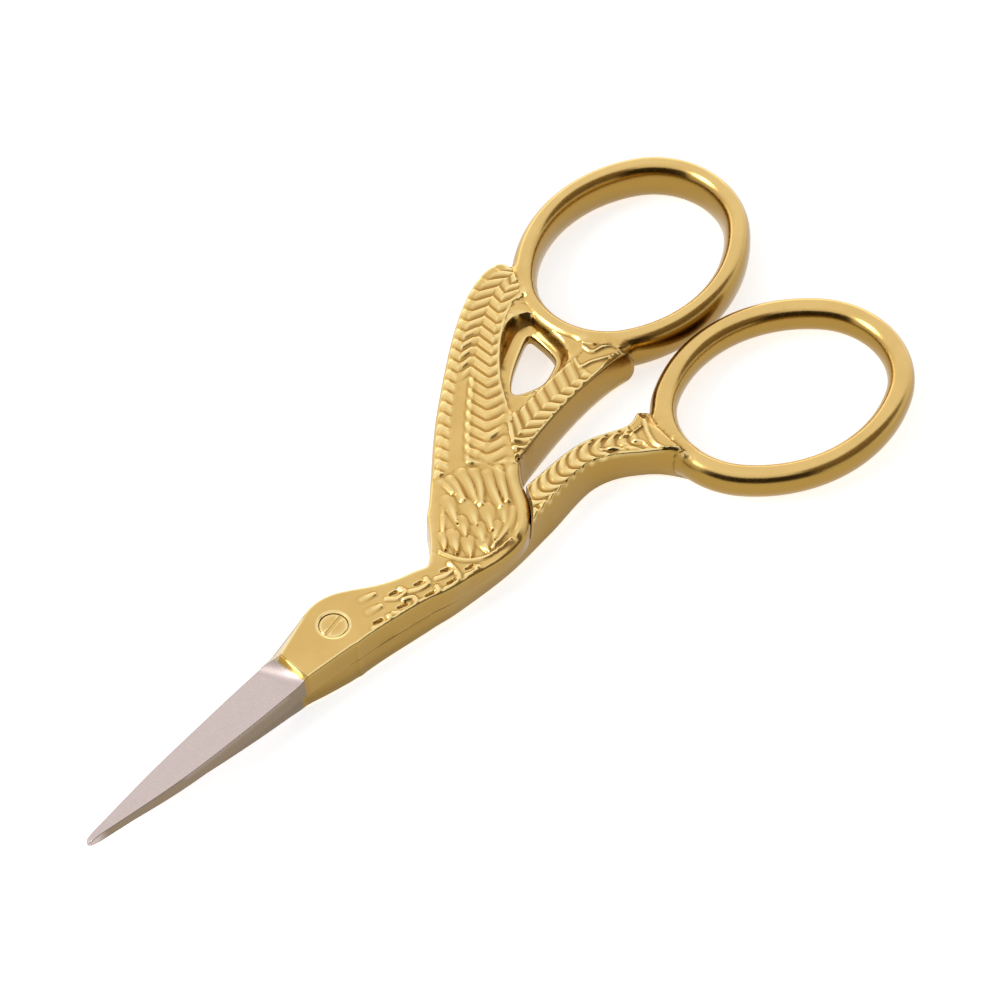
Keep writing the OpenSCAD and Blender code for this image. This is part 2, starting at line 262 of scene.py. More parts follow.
def evenly(rows, step):
    """The same rows respaced to equal steps along the path in their first two columns,
    and the distance of each along that path."""
    d = np.r_[0, np.cumsum(np.hypot(*np.diff(rows[:, :2], axis=0).T))]
    s = np.linspace(0, d[-1], int(round(d[-1] / step)) + 1)
    return np.stack([np.interp(s, d, c) for c in rows.T], 1), s


def left_normals(line):
    """Unit vectors to the left of a path, from the differences of its neighbours."""
    d = np.gradient(line, axis=0)
    d /= np.linalg.norm(d, axis=1)[:, None]
    return np.stack([-d[:, 1], d[:, 0]], 1)


def ease(a, b, x):
    """Smooth step from 0 at a to 1 at b."""
    t = np.clip((x - a) / (b - a), 0, 1)
    return t * t * (3 - 2 * t)


def outline(points, halves, grow=0.0):
    """Outline of a limb: its middle line with the half widths set off to both sides."""
    rows = smooth_rows(np.c_[points, halves], 8)
    line, w = rows[:, :2], rows[:, 2:] + grow
    n = left_normals(line)
    return np.vstack([line + w * n, (line - w * n)[::-1]])


class Plan:
    """Middle lines and widths of every limb, worked out from the sizes as in the solids."""

    def __init__(self, size):
        for key in size.__annotations__:
            value = getattr(size, key)
            setattr(self, key, math.degrees(value) if key.endswith("_turn") else value / MM)
        self.back_turn = -self.back_turn
        self.lap = self.head_h / 2
        half_w = self.ring_w / 2
        self.end_shift = self.ring_len / 2 - self.ring_end_r
        chord = self.end_shift ** 2 + half_w ** 2 - self.ring_end_r ** 2
        self.side_r = chord / (2 * (half_w - self.ring_end_r))
        self.side_shift = self.side_r - half_w
        self.arc_turn = math.atan2(self.end_shift, self.side_shift)
        front = np.array([-self.ring_x(self.front_turn), self.front_ring_y])
        back = np.array([self.ring_x(self.back_turn), self.back_ring_y])
        self.front_ring = front, self.front_tube_h + TUBE_FILL, self.front_turn
        self.back_ring = back, self.back_tube_h + TUBE_FILL, self.back_turn
        self.limbs()
        self.tube_w += TUBE_FILL

    def ring_x(self, turn):
        """Sideways distance of a ring's middle from the line between the rings."""
        reach = self.side_r - self.side_shift * math.cos(math.radians(turn))
        return (self.ring_gap + self.tube_w) / 2 + reach

    def end_arc_point(self, ring, direction):
        """Point of a ring's lower end arc in a direction from the ring's middle."""
        middle, _, turn = ring
        d = turned([1.0, 0.0], direction)
        c = turned([0.0, -self.end_shift], turn)
        along = d @ c
        return middle + (along + math.sqrt(along ** 2 - c @ c + self.ring_end_r ** 2)) * d

    def limbs(self):
        """Points of the middle lines and the half widths there, as in the solids."""
        chin, crown = np.array([0, -1.0]), np.array([0.2, 1.2])
        base = np.array([self.neck_shift, self.neck_len])
        tail = self.end_arc_point(self.front_ring, TAIL_AT)
        self.front_foot = self.end_arc_point(self.front_ring, FRONT_FOOT_AT)
        self.back_foot = self.end_arc_point(self.back_ring, BACK_FOOT_AT)
        bow, hw, nw = self.wing_bow, self.head_w, self.neck_w
        neck = [chin, crown, on_way(crown, base, .4, -.25), on_way(crown, base, .7, -.15), base]
        neck_halves = [.45 * hw, .47 * hw, .6 * nw, nw / 2]
        self.body_line = np.array(neck + [
            on_way(base, tail, .16, -1.35), on_way(base, tail, .31, -.2),
            on_way(base, tail, .5, .52 * bow), on_way(base, tail, .76, bow),
            on_way(base, tail, .92, .8 * bow), tail])
        self.body_halves = np.array(neck_halves + [
            .55 * nw, self.breast_w / 2, (self.breast_w + self.wing_w) / 4, self.wing_w / 2,
            (self.wing_w + self.tail_w) / 4, self.tail_w / 2, self.tube_w / 2])
        root, foot = np.array([.97 * self.neck_shift, self.crotch_y]), self.back_foot
        self.back_line = np.array(neck + [
            [self.neck_shift, .75 * self.crotch_y], root, on_way(root, foot, .45, 1.1),
            on_way(root, foot, .78, -.15), foot])
        self.back_halves = np.array(neck_halves + [
            .56 * nw, .62 * nw, .68 * self.back_leg_w, self.back_leg_w / 2, .28 * self.foot_w,
            self.foot_w / 2])
        hip, foot = np.array([-.7 * self.neck_shift, self.crotch_y]), self.front_foot
        self.leg_line = np.array([
            hip, on_way(hip, foot, .45, .4), on_way(hip, foot, .82, -.5), foot])
        lw = self.front_leg_w
        self.leg_halves = np.array([.55 * lw, lw / 2, .31 * self.foot_w, .44 * self.foot_w])


# Distances, used to let one surface flow into another

def ring_distance(plan, ring, p):
    """Signed distance of points from a finger ring: distance from its oval middle line, made of
    two end arcs and two side arcs, measured through a superellipse section."""
    middle, height, turn = ring
    q = np.abs(turned(p[..., :2] - middle, -turn))
    side = np.hypot(q[..., 0] + plan.side_shift, q[..., 1])
    end = np.hypot(q[..., 0], q[..., 1] - plan.end_shift)
    on_side = np.arctan2(q[..., 1], q[..., 0] + plan.side_shift) < plan.arc_turn
    r = np.where(on_side, side - plan.side_r, end - plan.ring_end_r)
    z = p[..., 2] - plan.lap
    full = TUBE_FULLNESS
    t = (np.abs(r / (plan.tube_w / 2)) ** full + np.abs(z / (height / 2)) ** full) ** (1 / full)
    t = np.maximum(t, 1e-6)
    return (t - 1) * np.hypot(r, z) / t


def limb_distance(limb, p):
    """Signed distance of points from a limb: its nearest station gives the offset to the side,
    and side and height together the distance from a box with rounded edges."""
    flat = p.reshape(-1, 3)
    line = limb["line"][::STRIDE]
    near = np.empty(len(flat), int)
    for a in range(0, len(flat), CHUNK):
        d = ((flat[a:a + CHUNK, None, :2] - line[None]) ** 2).sum(-1)
        near[a:a + CHUNK] = d.argmin(1)
    near *= STRIDE
    n = limb["normal"][near]
    v = flat[:, :2] - limb["line"][near]
    o = (v * n).sum(1)
    beyond = np.abs(v[:, 0] * n[:, 1] - v[:, 1] * n[:, 0])
    side = np.where(o > 0, o - limb["left"][near], -o - limb["right"][near])
    side = np.where(beyond > 0.2, np.hypot(np.maximum(side, 0), beyond), side)
    high = np.maximum(flat[:, 2] - limb["top"][near], limb["bottom"][near] - flat[:, 2])
    r = limb["edge"]
    a, b = side + r, high + r
    d = np.hypot(np.maximum(a, 0), np.maximum(b, 0)) + np.minimum(np.maximum(a, b), 0) - r
    return d.reshape(p.shape[:-1])


def flow_into(points, normal, distances, reach):
    """Moves points out along their normals so that two surfaces meet in a fillet.
    Where the other surface is at a distance b, the step is k + b - 2 sqrt(k b), with the reach k,
    up to k/4 at the fillet's middle. It fades where both surfaces face the same way."""
    moved = points.copy()
    h = 0.02   # step of the differences that give the other surface's direction
    for distance in distances:
        near = distance(points) < reach * 1.3
        if not near.any():
            continue
        p0, n = moved[near], normal[near]
        step = np.zeros(len(p0))
        for turn in range(4):
            p = p0 + step[:, None] * n
            b = distance(p)
            if turn == 0:
                g = np.stack([distance(p + h * e) - b for e in np.eye(3)], -1) / h
                same = np.clip((g * n).sum(-1), 0, 1)
                weight = 1 - same ** 2
            bb = np.clip(b, reach / 4, reach)
            step = (reach + bb - 2 * np.sqrt(reach * bb)) * weight
        moved[near] = p0 + step[:, None] * n
    return moved


# Surfaces

def limb_solid(limb, relief, others, reach):
    """Closed surface of a limb. A section is carried along the middle line: a top face, a rounded
    shoulder on each side, walls that swell a little at half height, and a bottom face. The right
    wall leans out by "lean" from the top to the bottom. The relief is a function of the place,
    added to the top face and, mirrored, to the bottom. Others are distances, whose surfaces this
    one flows into within a reach."""
    line, n, (across, low_across) = limb["line"], limb["normal"], limb["across"]
    left, right, _, bottom, rl, rr, swell_l, swell_r, lean = (limb[k][:, None] for k in KEYS[1:])
    face = limb["face"] if "face" in limb else np.repeat(limb["top"][:, None], across, 1)
    top_l, top_r = face[:, :1], face[:, -1:]
    f = np.linspace(0, 1, across)[None]
    g = np.linspace(1, 0, low_across)[None]
    a = np.radians(np.linspace(0, 90, ROUND_STEPS + 1)[1:])[None]
    w = np.linspace(0, 1, WALL_STEPS + 2)[None, 1:-1]
    one = np.ones_like(left)
    vl = np.minimum(rl, SHOULDER_SHARE * (top_l - bottom))
    vr = np.minimum(rr, SHOULDER_SHARE * (top_r - bottom))
    bl, br, wl, wr = (np.minimum(q, LOW_ROUND) for q in (rl, rr, vl, vr))
    wall_r = (top_r - vr) * (1 - w) + (bottom + wr) * w
    wall_l = (bottom + wl) * (1 - w) + (top_l - vl) * w
    bump = np.sin(np.pi * w) * one
    o = np.hstack([
        (left - rl) * (1 - f) - (right - rr) * f,
        -(right - rr) - rr * np.sin(a), -right - swell_r * bump, -(right - br) - br * np.cos(a),
        (left - bl) * (1 - g) - (right - br) * g,
        (left - bl) + bl * np.sin(a), left + swell_l * bump, (left - rl) + rl * np.cos(a)])
    z = np.hstack([
        face, top_r - vr + vr * np.cos(a), wall_r, bottom + wr - wr * np.sin(a),
        bottom * np.ones_like(g), bottom + wl - wl * np.cos(a), wall_l,
        top_l - vl + vl * np.sin(a)])
    top_n, low_n, sin, cos = 0 * f * one, 0 * g * one, np.sin(a) * one, np.cos(a) * one
    no = np.hstack([top_n, -sin, -1 + 0 * bump, -cos, low_n, sin, 1 + 0 * bump, cos])
    nz = np.hstack([top_n + 1, cos, 0 * bump, -sin, low_n - 1, -cos, 0 * bump, sin])
    half_way = across + 2 * ROUND_STEPS + WALL_STEPS - 1
    o, z, no, nz = (np.delete(q, (half_way, -1), 1) for q in (o, z, no, nz))
    low = np.clip((top_r - z) / (top_r - bottom), 0, 1)
    o = np.where(o < 0, o * (1 + lean * low / right), o)
    p = flow_into(sections(line, n, o, z), sections(0 * line, n, no, nz), others, reach)
    p[..., 2] += relief(limb, o, p[..., 0], p[..., 1]) * np.sign(nz) * np.abs(nz) ** 2
    if limb.get("turned_over"):
        p[..., 2] = 2 * limb["lap"] - p[..., 2]
    return grid_solid(p)


def sections(line, n, o, z):
    """Points of sections set on a line: o along its normals, at the height z."""
    xy = line[:, None] + o[..., None] * n[:, None]
    return np.concatenate([xy, (z + 0 * xy[..., 0])[..., None]], -1)


def grid_solid(p, closed=False):
    """Vertices and faces of a surface on a grid whose second direction runs round. Unless the first
    direction closes too, its two ends get a face each."""
    rows, cols = p.shape[:2]
    i = np.arange(rows if closed else rows - 1)[:, None]
    j = np.arange(cols)[None]
    a, b = i * cols + j, i * cols + (j + 1) % cols
    c, d = ((i + 1) % rows) * cols + (j + 1) % cols, ((i + 1) % rows) * cols + j
    quads = np.stack([a, b, c, d], -1).reshape(-1, 4)
    first, last = np.arange(cols), (rows - 1) * cols + np.arange(cols)
    caps = [] if closed else [first[::-1].tolist(), last.tolist()]
    v = p.reshape(-1, 3)
    q = v[quads]
    cross = np.cross(q[:, 1], q[:, 2]) + np.cross(q[:, 2], q[:, 3])
    volume = np.einsum("ij,ij->i", q[:, 0], cross).sum()
    if volume < 0:
        quads = quads[:, ::-1]
        caps = [c[::-1] for c in caps]
    return v, quads.tolist() + caps


def ring_solid(plan, ring, others, reach=1.4):
    """Closed tube of a finger ring: a superellipse section carried round the oval of four arcs,
    which flows into the others within a reach."""
    middle, height, turn = ring
    full = 2 * (math.pi - 2 * plan.arc_turn) * plan.ring_end_r + 4 * plan.arc_turn * plan.side_r
    s = np.arange(RING_STATIONS) / RING_STATIONS * full
    side = 2 * plan.arc_turn * plan.side_r
    end = (math.pi - 2 * plan.arc_turn) * plan.ring_end_r
    k = np.searchsorted(np.cumsum([side, end, side, end]), s, side="right")
    start = np.array([0, side, side + end, 2 * side + end])[k]
    a0 = plan.arc_turn * np.array([-1, 1, -1, 1])[k] + math.pi * (k > 1)
    r = np.where(k % 2 == 0, plan.side_r, plan.ring_end_r)
    cx = np.where(k % 2 == 0, np.where(k == 0, -plan.side_shift, plan.side_shift), 0)
    cy = np.where(k % 2 == 1, np.where(k == 1, plan.end_shift, -plan.end_shift), 0)
    a = a0 + (s - start) / r
    b = np.linspace(0, 2 * math.pi, TUBE_SIDES, endpoint=False)
    cb, sb = np.cos(b), np.sin(b)
    e = 2 / TUBE_FULLNESS
    u = plan.tube_w / 2 * np.sign(cb) * np.abs(cb) ** e
    z = height / 2 * np.sign(sb) * np.abs(sb) ** e
    nu = cb / (plan.tube_w / 2) * np.abs(cb) ** (1 - e)
    nv = sb / (height / 2) * np.abs(sb) ** (1 - e)
    size = np.hypot(nu, nv)
    nu, nv = nu / size, nv / size
    way = turned(np.stack([np.cos(a), np.sin(a)], -1), turn)
    centres = turned(np.stack([cx, cy], -1), turn) + middle
    p = sections(centres, way, r[:, None] + u, plan.lap + z)
    nn = sections(0 * way, way, nu[None], nv)
    return grid_solid(flow_into(p, nn, others, reach), closed=True)


def prism(points, z0, z1):
    """Upright solid over an outline."""
    n = len(points)
    v = np.vstack([np.c_[points, np.full(n, z0)], np.c_[points, np.full(n, z1)]])
    area = np.cross(points, np.roll(points, -1, 0)).sum()
    j = np.arange(n)
    k = (j + 1) % n
    faces = np.stack([j, k, k + n, j + n], 1).tolist() + [j[::-1].tolist(), (j + n).tolist()]
    if area < 0:
        faces = [f[::-1] for f in faces]
    return v, faces


def box_prism(x0, x1, y0, y1, z0, z1):
    """Block between two planes across each axis."""
    return prism(np.array([[x0, y0], [x1, y0], [x1, y1], [x0, y1]]), z0, z1)


def spun(profile):
    """Solid of revolution about the Z axis: radius and height along a profile, turned round."""
    r, z = np.asarray(profile, float).T
    a = np.linspace(0, 2 * math.pi, TURNED_SIDES, endpoint=False)[None]
    p = np.stack([r[:, None] * np.cos(a), r[:, None] * np.sin(a), z[:, None] + 0 * a], -1)
    return grid_solid(p)


# Mesh and material building

def mesh_object(name, solid):
    """Object at the origin from a solid's points in millimetres and its faces."""
    v, faces = solid
    mesh = bpy.data.meshes.new(name)
    mesh.from_pydata((np.asarray(v) * MM).tolist(), [], faces)
    mesh.update()
    obj = bpy.data.objects.new(name, mesh)
    bpy.context.scene.collection.objects.link(obj)
    return obj


def combine(obj, solid, operation):
    """Joins a solid to the object's mesh or cuts it away, and keeps the result as the mesh."""
    other = mesh_object("tool", solid)
    mod = obj.modifiers.new("combine", "BOOLEAN")
    mod.operation, mod.solver, mod.object = operation, "MANIFOLD", other
    graph = bpy.context.evaluated_depsgraph_get()
    done = bpy.data.meshes.new_from_object(obj.evaluated_get(graph))
    obj.modifiers.clear()
    old, obj.data = obj.data, done
    bpy.data.meshes.remove(old)
    other_mesh = other.data
    bpy.data.objects.remove(other)
    bpy.data.meshes.remove(other_mesh)
    if not done.polygons:
        raise RuntimeError(f"{operation} left nothing of {obj.name}")


def finish_piece(obj, name, material, body, node):
    """Names a finished piece, shades it smooth up to an angle and hands it to the frame."""
    obj.name = obj.data.name = name
    obj.data.materials.clear()
    obj.data.materials.append(material)
    obj.data.polygons.foreach_set("use_smooth", np.ones(len(obj.data.polygons), bool))
    obj.data.set_sharp_from_angle(angle=math.radians(SHARP))
    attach(obj, body)
    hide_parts(node)


# Limbs with their rounded edges, from the middle lines of the plan

def soft_min(a, b, k):
    """The lower of two heights, less (k - |a - b|)^2 / 4k where they are nearer than k."""
    return np.minimum(a, b) - np.maximum(k - np.abs(a - b), 0) ** 2 / (4 * k)


def soft_max(a, b, k):
    """The higher of two heights, plus (k - |a - b|)^2 / 4k where they are nearer than k."""
    return np.maximum(a, b) + np.maximum(k - np.abs(a - b), 0) ** 2 / (4 * k)


def limb_rows(line, halves, table):
    """Rows of a limb, with columns x, y and KEYS, at the points of its middle line."""
    t = np.asarray(table, float)
    return np.c_[line, halves, halves + t[:, 0], halves + t[:, 1], t[:, 2:]]


def limb_from(plan, rows, s, edge, across):
    """Limb from evenly spaced rows and their distances along it. Edge is the edge radius that
    limb_distance gives it, and across the points across its top and bottom."""
    limb = {"line": rows[:, :2], "s": s, "normal": left_normals(rows[:, :2]), "lap": plan.lap,
            "edge": edge, "across": across}
    limb.update({k: rows[:, 2 + i] for i, k in enumerate(KEYS)})
    return limb


def blade_rows(plan, left_step, right_step):
    """Rows of x, y and both half widths from the tip to the head, as in the solids."""
    start = plan.tip_r - plan.blade_reach
    length = plan.blade_reach - plan.head_front
    w = plan.blade_w / 2
    side = smooth_rows(np.array([
        [w, -plan.head_front], [.94 * w, -plan.head_front - .3 * length],
        [.72 * w, -plan.head_front - .62 * length], [plan.tip_r, start]]))[::-1]
    round_y = start - plan.tip_r * np.cos(np.linspace(0.12, math.pi / 2, 8)[:-1])
    y = np.r_[round_y, side[:, 1]]
    half = np.r_[np.sqrt(plan.tip_r ** 2 - (round_y - start) ** 2), side[:, 0]]
    share = np.clip((y - start) / (-plan.head_front - start), 0, 1)
    x = TIP_X * (1 - share)
    straight = BLADE_TRIM * np.sin(math.pi * share)
    rows = np.c_[x, y, half + left_step * share - straight, half + right_step * share]
    at = np.r_[y[:7], np.arange(start, -plan.head_front - RAMP_LEN - .3, .75),
               np.arange(-plan.head_front - RAMP_LEN - .2, -plan.head_front, .11), y[-1]]
    return np.stack([np.interp(at, y, c) for c in rows.T], 1)


def long_limb(plan, line, halves, table, across, left_step=0, right_step=0):
    """Limb from a blade's tip through the head to a ring. The steps widen the blade on its left and
    right. Distances along the limb start at the first point of the middle line."""
    rows = limb_rows(line, halves, table)
    head = [*HEAD_AT, HEAD_HALF + left_step, HEAD_HALF + right_step * (1 - HEAD_FILL)]
    front = np.vstack([blade_rows(plan, left_step, right_step), head])
    front = np.c_[front[:, :3], front[:, 2:], np.repeat(rows[:1, 5:], len(front), 0)]
    rows, s = evenly(smooth_rows(np.vstack([front[-2:], rows])), plan.grain)
    s = s - s[np.argmin(np.hypot(*(rows[:, :2] - line[0]).T))]
    blade, root = front[:-2], front[-2]
    s = np.r_[s[0] + (blade[:, 1] - root[1]), s]
    limb = limb_from(plan, np.vstack([blade, rows]), s, BOX_ROUND[0], across)
    on_blade = limb["line"][:, 1] < -plan.head_front + .3
    for key, value in zip(("round_left", "round_right"), BLADE_ROUND):
        limb[key] = np.where(on_blade, np.minimum(value, .4 * limb["left"]), limb[key])
    return limb


def short_limb(plan, line, halves, table):
    """Limb of one leg and foot."""
    rows, s = evenly(smooth_rows(limb_rows(line, halves, table)), plan.grain)
    return limb_from(plan, rows, s, BOX_ROUND[1], LEG_ACROSS)


def head_face(plan, limb, sign):
    """Height of the top face. On the blade it is a flat bevel from the spine down to the cutting
    edge, which a hollow ramp joins to the flat of the head. A facet cuts the head's corner on the
    cutting edge's side. Sign is 1 where the cutting edge is on the left."""
    f = np.linspace(0, 1, limb["across"][0])[None]
    left, right = limb["left"] - limb["round_left"], limb["right"] - limb["round_right"]
    o = left[:, None] * (1 - f) - right[:, None] * f
    x = limb["line"][:, :1] + o * limb["normal"][:, :1]
    y = limb["line"][:, 1:] + o * limb["normal"][:, 1:]
    x = TIP_X + sign * (x - TIP_X)
    lap = plan.lap + plan.lap_gap / 2
    w, front, reach = plan.blade_w / 2, -plan.head_front, -plan.blade_reach
    slope = (plan.spine_h - plan.edge_h) / plan.blade_w
    mid = lap + plan.edge_h + slope * w
    along = (lap + plan.tip_h - mid - slope * TIP_X) / (reach - front)
    bevel = mid + slope * x + along * (y - front)
    top = limb["top"][:, None]
    if sign < 0:
        heel = plan.head_h + (y - front) * (plan.head_h - lap) / plan.heel_len
        bevel = soft_max(bevel, heel, SOFT)
    t = np.clip((front + .1 - y) / (RAMP_LEN - .25 * (x + w) / w), 0, 1)
    ramp = bevel + (plan.head_h + .1 - bevel) * (1 - t) ** RAMP_HOLLOW
    share = np.clip((y - front) / (-.1 - front), 0, 1)
    line_x = -CHEEK_X - CHEEK_RUN * share
    low = lap + plan.edge_h + CHEEK_RISE * share
    facet = top + (x - line_x) * (top - low) / (line_x + w + .1 + .45 * share)
    facet = np.where(y > .3, top + 1, facet + 4 * np.clip(y + .5, 0, 1))
    if sign < 0:
        facet = top + 1
    body = np.where(t < 1, soft_max(bevel, np.minimum(ramp, facet), SOFT_RAMP), bevel)
    body = np.where(y > front + .1, soft_max(bevel, np.minimum(top + .1, facet), SOFT), body)
    face = soft_min(top, body, SOFT_EDGE)
    face -= NOSE_DROP * (1 - ease(0, NOSE_LEN, y - reach)) ** 2
    return np.where(y < HEAD_END, face, top)


def round_end(limb, length, dive):
    """Rounds the corners of a limb's far end in plan, over the last stretch of its middle line, and
    brings its top and bottom together there, so that it ends inside the ring."""
    t = np.clip((limb["s"] - limb["s"][-1]) / length + 1, 0, 1)
    for key in ("left", "right", "lean"):
        limb[key] = limb[key] * (1 - .8 * (1 - np.sqrt(1 - .98 * t ** 2)))
    low = dive * ease(limb["s"][-1] - 1.6, limb["s"][-1] - .1, limb["s"])
    limb["top"], limb["bottom"] = limb["top"] - low, limb["bottom"] + low


# Relief: heights added to a face, worked out from the place along the limb, s, and across it, u

def bars(x):
    """1 on a bar's crest and 0 in the groove beside it, once for each unit of x."""
    return (.5 - .5 * np.cos(2 * math.pi * x)) ** .75


def knots(u, *pairs):
    """Straight lines between knots given as (u, value), from high u to low."""
    ku, kv = np.array(pairs).T
    return np.interp(-u, -ku, kv)


def hump(x, width):
    """Bell curve, 1 at 0."""
    return np.exp(-(x / width) ** 2)


def feathers(s, u, half):
    """Wing of the stork: rows of chevron feathers, with a smooth strip, a ridge and a border ridge
    on its lower part, and how far each place belongs to it."""
    zig = [knots(u, *row) for row in ZIGZAG]
    rise = [np.clip((s - start) / run, 0, 1) for start, run in RISES]
    lead = zig[0] + sum(share * (b - a) for share, a, b in zip(rise, zig, zig[1:]))
    rows = bars((s - lead) / WING_PITCH)
    # The smooth strip, and the feathers' fading towards the right edge
    strip = ease(.16, .3, u) * (1 - ease(.5, .72, u)) * (1 - ease(33.5, 36.5, s))
    fade = .35 + .65 * ease(-.95, -.45, u)
    wing = WING_AMP * (rows - BAR_MEAN) * (1 - strip) * fade * ease(-.96, -.8, u)
    # The ridge beside the strip, the border ridge, and the edge where the fan takes over
    ends = ease(25, 26, s) * (1 - ease(34.5, 35.5, s))
    wing += .12 * hump((u - .18) * half, .24) * ends - .1 * strip
    wing += .1 * hump((u + .88) * half, .2) * ease(23, 24, s) * (1 - ease(33, 35, s))
    edge = 25 - np.clip(u - .2, 0, 1) * 2.2
    return wing, ease(edge - .15, edge + .15, s)


def strokes(x, y, anchor, lines):
    """Heights of rounded strokes laid over a face: along each line of points the width goes from
    its first to its second value and the height grows, and across it the height falls off to
    nothing as (1 - d^2 / w^2)^1.5. Where strokes overlap, the highest counts."""
    best = np.zeros(x.shape)
    for wide, wide_end, high, *points in lines:
        line = smooth_rows(np.reshape(points, (-1, 2)), 5) + anchor
        low, top = line.min(0) - .7, line.max(0) + .7
        near = (x > low[0]) & (x < top[0]) & (y > low[1]) & (y < top[1])
        px, py, b = x[near], y[near], np.zeros(near.sum())
        for i, (a, c) in enumerate(zip(line[:-1], line[1:])):
            d = c - a
            t = np.clip(((px - a[0]) * d[0] + (py - a[1]) * d[1]) / (d @ d), 0, 1)
            far = (px - a[0] - t * d[0]) ** 2 + (py - a[1] - t * d[1]) ** 2
            way = (i + t) / (len(line) - 1)
            w = wide + (wide_end - wide) * way
            fall = np.clip(1 - far / (1.15 * w) ** 2, 0, 1) ** 1.5
            b = np.maximum(b, high * (.55 + .45 * way) * fall)
        best[near] = np.maximum(best[near], b)
    return best


def places(limb, o, stretch=1):
    """Distance along a limb, and place across it from 1 at the left edge to -1 at the right."""
    return limb["s"][:, None] * stretch + 0 * o, o / limb["half"][:, None], limb["half"][:, None]


def inside(limb, o, width):
    """0 at a limb's right edge, rising to 1 over a width."""
    return ease(.05, width, o + limb["right"][:, None])


def body_relief(limb, o, x, y):
    """Relief of the front half's long limb: wing, fan, scales, neck feathers and the flat head."""
    s, u, half = places(limb, o, BODY_LENGTH / limb["s"][-1])
    s = s - .3 * ease(8, 13, s)
    wing, above = feathers(s, u, half)
    rim = 13.5 + ease(0, -1, u)
    past_rim = ease(rim - .1, rim + .2, s)
    at = x, y, limb["base"]
    h = wing * above
    h += (1 - above) * past_rim * (strokes(*at, FLUTES + SCALES) - .15)
    h += ease(3.0, 4.2, s) * (1 - past_rim) * (strokes(*at, LOOPS) - .1 - strokes(*at, PITS))
    return h * inside(limb, o, .5)


def front_leg_relief(limb, o, x, y):
    """Relief of the front leg: chevrons that grow flatter towards the scrolls of the foot."""
    s, u, half = places(limb, o)
    high = ease(4, 10, s)
    d = (u + .08) * half
    arm = np.where(d > 0, .94 - .5 * high, .92 - .3 * high)
    rows = bars((s - arm * np.abs(d) - .16 - .17 * high) / LEG_PITCH)
    h = AMP * (rows - BAR_MEAN) * (1 - ease(13.6, 14.4, s)) * ease(-.93, -.83, u)
    h += .08 * hump((u + .95) * half, .15) * ease(8, 9, s)
    h += ease(13.4, 14.2, s) * (strokes(x, y, limb["foot"], SCROLLS) - .12)
    return h * inside(limb, o, .4)


def back_relief(limb, o, x, y):
    """Relief of the back leg: bowed bars, and the scrolls of the foot."""
    s, u, half = places(limb, o)
    bow = .8 * np.minimum(np.abs(u - .25) * half, 1) ** 2
    rows = bars((s - bow + .5) / BACK_PITCH)
    h = AMP * (rows - BAR_MEAN) * ease(20, 21, s) * (1 - ease(35.4, 36.2, s)) * ease(-.97, -.87, u)
    h += (strokes(x, y, limb["foot"], BRACKET) - .1) * ease(30, 32, s)
    return h * inside(limb, o, .4) * ease(.05, .4, limb["left"][:, None] - o)


# The pieces

def window_lip(plan, others):
    """Ledge round the opening between body, leg and ring, carried round the opening's edge. Its
    inner edge is rounded, its top is level at first and then slopes up into the metal round it, and
    its underside is the same turned over."""
    points = np.array(WINDOW) + plan.front_foot
    loop = smooth_rows(np.vstack([points[-2:], points, points[:2]]), LIP_STEPS)
    loop = loop[2 * LIP_STEPS:-LIP_STEPS - 1]
    d = np.roll(loop, -1, 0) - np.roll(loop, 1, 0)
    d /= np.linalg.norm(d, axis=1)[:, None]
    n = np.stack([-d[:, 1], d[:, 0]], 1)
    toward_body = np.clip(-n[:, 0], 0, 1)[:, None]
    a = np.radians(np.linspace(90, 180, ROUND_STEPS + 1))
    half, r = LIP_HALF, LIP_ROUND
    f = np.linspace(1, 0, LIP_STEPS)[:-1]
    way = np.degrees(np.arctan2(n[:, 1], n[:, 0]))
    reach = np.interp(way, *np.array(LIP_REACH).T)[:, None]
    o_top = r + (reach - r) * f[None]
    flat, rise = LIP_FLAT + LIP_MORE[0] * toward_body, LIP_RISE + LIP_MORE[1] * toward_body
    z_top = half + rise * ease(flat, flat + LIP_SLOPE, o_top)
    o_arc = np.repeat((r + r * np.cos(a))[None], len(loop), 0)
    z_arc = np.repeat((half - r + r * np.sin(a))[None], len(loop), 0)
    o = np.hstack([o_top, o_arc, o_arc[:, ::-1], o_top[:, ::-1]])
    z = np.hstack([z_top, z_arc, -z_arc[:, ::-1], -z_top[:, ::-1]])
    up = np.r_[1 + 0 * f, np.sin(a), -np.sin(a[::-1]), -1 + 0 * f]
    out = np.r_[0 * f, np.cos(a), np.cos(a[::-1]), 0 * f]
    p, nn = sections(loop, n, o, plan.lap + z), sections(0 * loop, n, out[None], up)
    return grid_solid(flow_into(p, nn, others, .8), closed=True)


